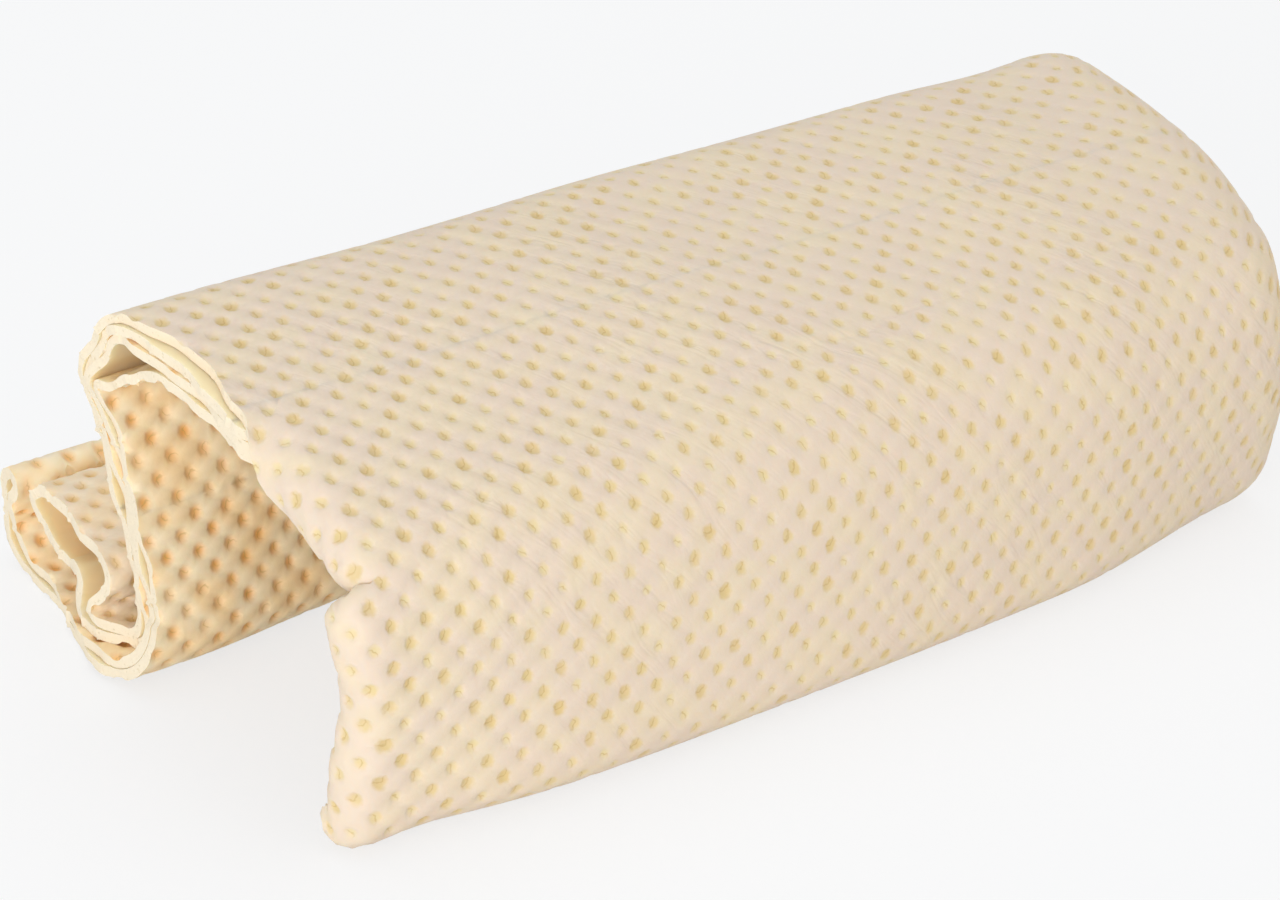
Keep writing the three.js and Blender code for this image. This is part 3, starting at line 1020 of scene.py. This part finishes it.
# %% Colour and node helpers
NOISE = ("TexNoise", {})
RANGE = ("MapRange", {})
SOFT_RANGE = ("MapRange", {"interpolation_type": "SMOOTHSTEP"})
TIMES = ("Math", {"operation": "MULTIPLY"})
LESS = ("Math", {"operation": "SUBTRACT"})
TIMES_PLUS = ("Math", {"operation": "MULTIPLY_ADD"})
LARGER = ("Math", {"operation": "MAXIMUM"})
MOVE = ("VectorMath", {"operation": "ADD"})
SIZE = ("VectorMath", {"operation": "LENGTH"})
# The colour inputs of this one are 6 and 7, and its colour output is 2.
BLEND = ("Mix", {"data_type": "RGBA"})
BUMP = ("Bump", {})
SPONGE = ("BsdfPrincipled", {})


def linear(code):
    values = [int(code[index:index + 2], 16) / 255.0 for index in (0, 2, 4)]
    return tuple(v / 12.92 if v <= 0.04045 else ((v + 0.055) / 1.055) ** 2.4 for v in values) + (1.0,)


def scale_of(size):
    """Scale of a noise whose lumps are about this many mm wide."""
    return 1.0 / (size * MM)


def add(tree, kind, settings=None, values=None):
    """Adds a node with its options. An input is set, or linked to a node's first or named output."""
    node = tree.nodes.new("ShaderNode" + kind)
    for option, value in (settings or {}).items():
        setattr(node, option, value)
    for key, value in (values or {}).items():
        value = (value, 0) if isinstance(value, bpy.types.Node) else value
        if isinstance(value, tuple) and isinstance(value[0], bpy.types.Node):
            tree.links.new(value[0].outputs[value[1]], node.inputs[key])
        else:
            node.inputs[key].default_value = value
    return node


def new_material(name):
    material = bpy.data.materials.new(name)
    material.use_nodes = True
    tree = material.node_tree
    tree.nodes.clear()
    return material, tree


finishes = []
print("white is", linear("FFFFFF"))

# %% [markdown]
# ## The embossed face
#
# A roller with pins pressed this face. It is a satin cream skin with cloudy patches, and each dot is a
# yellower stain with a dark curl in it, which is painted shade of a tiny crease. Inside the roll the cream
# and the stains are painted warmer and more orange: painted warm shade, for the light that bounces and
# passes through the sponge there. A picture of dots would not follow the modelled dimples, so the pattern is
# worked out on the piece's UV map, which counts in dimple steps.

# %% Dots of the embossed face
MARK_RADIUS = 1.1
MARK_SHAKE = 1.4


def dot_parts(tree, place):
    """Distance from the middle of the nearest dot in mm, chance values for that dot, and the way from it."""
    shifted = add(tree, *MOVE, {0: (place, "UV"), 1: (0.5, 0.5, 0.5)})
    cell = add(tree, "VectorMath", {"operation": "FLOOR"}, {0: shifted})
    within = add(tree, "VectorMath", {"operation": "SUBTRACT"}, {0: (place, "UV"), 1: cell})
    way = []
    for (column, row), shape in zip((TO_ACROSS, TO_LENGTH), DOT_SHAPE):
        way.append(add(tree, "VectorMath", {"operation": "DOT_PRODUCT"}, {
            0: within, 1: (column / shape, row / shape, 0.0)}))
    offset = add(tree, "CombineXYZ", {}, {"X": (way[0], "Value"), "Y": (way[1], "Value")})
    away = add(tree, *SIZE, {0: offset})
    chance = add(tree, "TexWhiteNoise", {"noise_dimensions": "3D"}, {"Vector": cell})
    return away, chance, offset


def dot_mask(tree, place, away, chance, wear):
    """Near 1 in a dot and 0 between the dots, with a ragged soft edge. Size and strength differ in each."""
    wobble = add(tree, *NOISE, {"Vector": (place, "Object"), "Scale": scale_of(1.4), "Detail": 2.0})
    uneven = add(tree, *TIMES_PLUS, {0: wobble, 1: 1.3, 2: -0.65})
    ragged = add(tree, "Math", {"operation": "ADD"}, {0: (away, "Value"), 1: uneven})
    edge = add(tree, *RANGE, {"Value": chance, "To Min": 0.8, "To Max": 1.26})
    soft = add(tree, *LESS, {0: edge, 1: ragged})
    mask = add(tree, *SOFT_RANGE, {"Value": soft, "From Min": -0.6, "From Max": 0.5})
    worn = add(tree, *RANGE, {"Value": wear, "To Min": 0.78, "To Max": 1.0})
    return add(tree, *TIMES, {0: mask, 1: worn})


def painted_crease_shade(tree, place, chance, offset, dot):
    """A short dark curl in each dot, painted shade of a tiny crease, shaken out of shape and turned another
    way in each.
    """
    turn = add(tree, *TIMES_PLUS, {0: chance, 1: 2.4, 2: -1.2})
    turned = add(tree, "VectorRotate", {"rotation_type": "Z_AXIS"}, {
        "Vector": offset, "Angle": turn})
    shake = add(tree, *NOISE, {"Vector": (place, "Object"), "Scale": scale_of(1.1), "Detail": 1.0})
    shaken = add(tree, "VectorMath", {"operation": "MULTIPLY_ADD"}, {
        0: (shake, "Color"), 1: (MARK_SHAKE, MARK_SHAKE, 0.0), 2: turned})
    beside = add(tree, *MOVE, {
        0: shaken, 1: (MARK_RADIUS - 0.5 * MARK_SHAKE, -0.5 * MARK_SHAKE, 0.0)})
    outwards = add(tree, *SIZE, {0: beside})
    off_arc = add(tree, *LESS, {0: (outwards, "Value"), 1: MARK_RADIUS})
    aside = add(tree, "Math", {"operation": "ABSOLUTE"}, {0: off_arc})
    line = add(tree, *SOFT_RANGE, {
        "Value": aside, "From Min": 0.02, "From Max": 0.26, "To Min": 0.5, "To Max": 0.0})
    return add(tree, *TIMES, {0: line, 1: dot})


print("curl in a dot", MARK_RADIUS, "mm in radius")

# %% Embossed face
CREAM = "E9D6C0"
CREAM_SHADE = "E3CFB8"
CREAM_YELLOW = "E9D7B7"
DOT_YELLOW = "E9D6A4"
DOT_DEEP = "DFC48A"
# The next colour is painted shade of a tiny crease in each dot.
PAINTED_CREASE_SHADE_COLOUR = "C3A05C"
# The next three colours are painted warm shade: the cream, its deeper patches and the dots where light
# bounces inside the roll.
PAINTED_WARM_SHADE_CREAM = "FFEBC6"
PAINTED_WARM_SHADE_DEEP = "FFDDA8"
DOT_IN_PAINTED_WARM_SHADE = "EFB462"


def embossed_colour(tree, place, patches, inside):
    """Cloudy cream with yellow dots outside, painted warm shade over cream and soft stains inside, and curls
    of painted crease shade on both.
    """
    away, chance, offset = dot_parts(tree, place)
    wear = (add(tree, "SeparateColor", {}, {"Color": (chance, "Color")}), "Green")
    dot = dot_mask(tree, place, away, chance, wear)
    # The dark curls are painted shade of a tiny crease in each dot.
    marks = painted_crease_shade(tree, place, chance, offset, dot)
    clouds = add(tree, *NOISE, {"Vector": (place, "Object"), "Scale": scale_of(9.0), "Detail": 1.0})
    cloudy = add(tree, *SOFT_RANGE, {
        "Value": clouds, "From Min": 0.4, "From Max": 0.65, "To Min": 0.0, "To Max": 0.7})
    ground = add(tree, *BLEND, {"Factor": patches, 6: linear(CREAM), 7: linear(CREAM_SHADE)})
    ground = add(tree, *BLEND, {"Factor": cloudy, 6: (ground, 2), 7: linear(CREAM_YELLOW)})
    yellow = add(tree, *BLEND, {"Factor": chance, 6: linear(DOT_YELLOW), 7: linear(DOT_DEEP)})
    outside = add(tree, *BLEND, {"Factor": dot, 6: (ground, 2), 7: (yellow, 2)})
    # Inside, the cream and a soft halo round each dot are painted warm shade; the halo is partly the dot's
    # stain and partly painted pit shade.
    halo = add(tree, *SOFT_RANGE, {
        "Value": (away, "Value"), "From Min": 0.0, "From Max": 2.2, "To Min": 1.0, "To Max": 0.0})
    faint = add(tree, *RANGE, {"Value": wear, "To Min": 0.35, "To Max": 1.0})
    stain_and_painted_pit_shade = add(tree, *TIMES, {0: halo, 1: faint})
    inner_painted_shade = add(tree, *BLEND, {
        "Factor": cloudy, 6: linear(PAINTED_WARM_SHADE_CREAM), 7: linear(PAINTED_WARM_SHADE_DEEP)})
    inner_painted_shade = add(tree, *BLEND, {"Factor": stain_and_painted_pit_shade, 6: (inner_painted_shade, 2), 7: linear(DOT_IN_PAINTED_WARM_SHADE)})
    colour = add(tree, *BLEND, {"Factor": (inside, "Fac"), 6: (outside, 2), 7: (inner_painted_shade, 2)})
    # Here the painted crease shade goes over the colour.
    return add(tree, *BLEND, {"Factor": marks, 6: (colour, 2), 7: linear(PAINTED_CREASE_SHADE_COLOUR)})


def embossed_face():
    """Embossed PVA sponge: a satin skin with fine grain, and stretched wrinkles that shine a little more."""
    material, tree = new_material("embossed_pva_sponge")
    place = add(tree, "TexCoord")
    # This attribute is the share of painted warm shade.
    inside = add(tree, "Attribute", {"attribute_name": "inside"})
    patches = add(tree, *NOISE, {"Vector": (place, "Object"), "Scale": scale_of(38.0), "Detail": 3.0})
    colour = embossed_colour(tree, place, patches, inside)
    stretched = add(tree, "Mapping", {}, {"Vector": (place, "UV"), "Scale": (0.4, 1.25, 1.0)})
    wrinkles = add(tree, *NOISE, {
        "Vector": stretched, "Scale": 1.0, "Detail": 2.0, "Distortion": 0.6})
    grain = add(tree, *NOISE, {"Vector": (place, "Object"), "Scale": scale_of(0.9), "Detail": 4.0})
    fine = add(tree, *BUMP, {"Height": grain, "Strength": 0.2, "Distance": 0.15 * MM})
    where = add(tree, *RANGE, {
        "Value": patches, "From Min": 0.44, "From Max": 0.6, "To Min": 0.15, "To Max": 1.0})
    outside = add(tree, *LESS, {0: 1.0, 1: (inside, "Fac")})
    shown = add(tree, *TIMES, {0: where, 1: outside})
    puckers = add(tree, *TIMES, {0: wrinkles, 1: shown})
    bump = add(tree, *BUMP, {
        "Height": puckers, "Strength": 0.5, "Distance": 1.0 * MM, "Normal": fine})
    gloss = add(tree, *RANGE, {
        "Value": puckers, "From Min": 0.3, "From Max": 0.62, "To Min": 0.62, "To Max": 0.45})
    skin = add(tree, *SPONGE, {
        "Base Color": (colour, 2), "Roughness": gloss, "IOR": 1.45, "Normal": bump,
        "Subsurface Weight": 0.25, "Subsurface Radius": (1.0, 0.62, 0.34), "Subsurface Scale": 1.6 * MM})
    add(tree, "OutputMaterial", {}, {"Surface": skin})
    return material


finishes.append(embossed_face())
print("nodes of the embossed face", len(finishes[0].node_tree.nodes))

# %% [markdown]
# ## The smooth face
#
# The other face was cast against a smooth belt. It has no dots, only faint patches, and shows inside the
# two loops and in the gaps between the plies. So much light passes through a single ply there that most of
# its shading comes from within the sponge.

# %% Smooth face
# Both smooth colours are the sponge's cream, painted lighter and warmer as painted light from within the
# loops.
SMOOTH_CREAM = "FBE4BE"
SMOOTH_SHADE = "F6D4A2"


def smooth_face():
    """The plain side of the sponge: cream with faint patches, painted lighter and warmer for the light
    inside the loops.
    """
    material, tree = new_material("smooth_pva_sponge")
    place = add(tree, "TexCoord")
    patches = add(tree, *NOISE, {"Vector": (place, "Object"), "Scale": scale_of(12.0), "Detail": 5.0})
    colour = add(tree, *BLEND, {"Factor": patches, 6: linear(SMOOTH_CREAM), 7: linear(SMOOTH_SHADE)})
    bump = add(tree, *BUMP, {"Height": patches, "Strength": 0.3, "Distance": 0.4 * MM})
    skin = add(tree, *SPONGE, {
        "Base Color": (colour, 2), "Roughness": 0.58, "IOR": 1.45, "Normal": bump,
        "Subsurface Weight": 0.75, "Subsurface Radius": (1.0, 0.85, 0.7), "Subsurface Scale": 4.5 * MM})
    add(tree, "OutputMaterial", {}, {"Surface": skin})
    return material


finishes.append(smooth_face())
print("nodes of the smooth face", len(finishes[1].node_tree.nodes))

# %% [markdown]
# ## The cut edge
#
# A knife leaves the foam itself open: nearly white, quite matt, and full of fine pores. The pores of the
# real foam are too fine to show, so they are drawn 0.8 mm wide.

# %% Cut edge
FOAM = "EFE0C4"
PORE = "DECDAA"


def cut_edge():
    """Cut foam: pale and matt, with open pores as darker specks."""
    material, tree = new_material("cut_pva_foam")
    place = add(tree, "TexCoord")
    pores = add(tree, *NOISE, {"Vector": (place, "Object"), "Scale": scale_of(0.8), "Detail": 3.0})
    speck = add(tree, *SOFT_RANGE, {"Value": pores, "From Min": 0.6, "From Max": 0.75})
    colour = add(tree, *BLEND, {"Factor": speck, 6: linear(FOAM), 7: linear(PORE)})
    bump = add(tree, "Bump", {"invert": True}, {
        "Height": pores, "Strength": 0.6, "Distance": 0.3 * MM})
    foam = add(tree, *SPONGE, {
        "Base Color": (colour, 2), "Roughness": 0.85, "IOR": 1.4, "Normal": bump,
        "Subsurface Weight": 0.15, "Subsurface Radius": (1.0, 0.85, 0.7), "Subsurface Scale": 1.0 * MM})
    add(tree, "OutputMaterial", {}, {"Surface": foam})
    return material


finishes.append(cut_edge())
for piece in pieces.values():
    for finish in finishes:
        piece.data.materials.append(finish)
print("materials", [finish.name for finish in finishes])

# %% [markdown]
# ## What each piece stands for
#
# Each piece stands for the CAD solids of its stretch, which are hidden, and its placement is baked into its
# mesh.

# %% Replaced nodes
NODE_STRETCHES = {
    "front": ("shoulder_upper", "shoulder_lower", "front_wall", "front_bend", "front_hem"),
    "back": ("top_panel", "ridge_front", "ridge_rear", "back_wall"),
}
REAR_NODES = (
    "foot_bend_outer_plies", "foot_bend_inner_plies", "lower_rear_loop", "upper_rear_loop",
    "rear_edge_outer_ply", "rear_edge_inner_ply",
)
for end_name, stretches in NODE_STRETCHES.items():
    for side in ("outer", "inner"):
        nodes = [f"{stretch}_{side}_plies" for stretch in stretches]
        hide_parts(*nodes)
        print(f"{side}_ply_{end_name}", "stands for", len(nodes), "nodes")
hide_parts(*REAR_NODES)


for side in ("outer", "inner"):
    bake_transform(pieces[f"{side}_ply_front"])
    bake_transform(pieces[f"{side}_ply_back"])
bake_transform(pieces["rear_folds"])

# %% [markdown]
# ## Floor, light and background
#
# The roll lies on a pale floor under soft studio light. The floor is nearly white to the camera and still
# keeps the roll's shadow, and the lamps stay at a plain level so that the cream doesn't bleach.

# %% Floor
FLOOR_SIZE = 8.0
FLOOR_GREY = 0.86
FLOOR_GLOW = 0.72
WHITE = (1.0, 1.0, 1.0, 1.0)

bpy.ops.object.select_all(action="DESELECT")
bpy.ops.mesh.primitive_plane_add(size=FLOOR_SIZE, location=(0.0, 0.0, 0.0))
floor = bpy.context.active_object
floor.name = "floor"
floor_material, floor_tree = new_material("white_floor")
rays = add(floor_tree, "LightPath")
seen = add(floor_tree, *LARGER, {0: (rays, "Is Camera Ray"), 1: (rays, "Is Glossy Ray")})
shown = add(floor_tree, *LARGER, {0: seen, 1: (rays, "Is Transmission Ray")})
amount = add(floor_tree, *TIMES, {0: shown, 1: FLOOR_GLOW})
paint = add(floor_tree, "BsdfDiffuse", {}, {"Color": (FLOOR_GREY, FLOOR_GREY, FLOOR_GREY, 1.0)})
glow = add(floor_tree, "Emission", {}, {"Color": WHITE, "Strength": 1.0})
mixed = add(floor_tree, "MixShader", {}, {0: amount, 1: paint, 2: glow})
add(floor_tree, "OutputMaterial", {}, {"Surface": mixed})
floor.data.materials.append(floor_material)
print("floor", FLOOR_SIZE, "m wide")

# %% Lamps and world
LAMPS = (
    ("key_lamp", (-1.04, -0.69, 0.24), 0.7, 8.9, "F8FAFF"),
    ("fill_lamp", (0.4, -1.35, 0.8), 0.4, 1.0, "FFE2CE"),
    ("top_lamp", (0.25, 0.3, 1.5), 1.2, 4.5, "EEF5FF"),
)
SKY_TINT = (0.95, 0.975, 1.0, 1.0)
SKY_STRENGTH = 0.7

for name, place, size, power, tint in LAMPS:
    lamp_data = bpy.data.lights.new(name, "AREA")
    lamp_data.size = size
    lamp_data.energy = power
    lamp_data.color = linear(tint)[:3]
    lamp = bpy.data.objects.new(name, lamp_data)
    lamp.location = place
    aim = -lamp.location
    lamp.rotation_euler = aim.to_track_quat("-Z", "Y").to_euler()
    bpy.context.scene.collection.objects.link(lamp)

world = bpy.data.worlds.new("studio")
world.use_nodes = True
world_tree = world.node_tree
world_tree.nodes.clear()
soft_light = add(world_tree, "Background", {}, {"Color": SKY_TINT, "Strength": SKY_STRENGTH})
white = add(world_tree, "Background", {}, {"Color": WHITE, "Strength": 1.0})
world_rays = add(world_tree, "LightPath")
backdrop = add(world_tree, "MixShader", {}, {
    0: (world_rays, "Is Camera Ray"), 1: soft_light, 2: white})
add(world_tree, "OutputWorld", {}, {"Surface": backdrop})
bpy.context.scene.world = world
bpy.context.scene.view_settings.view_transform = "Standard"
print("lamps", len(LAMPS))
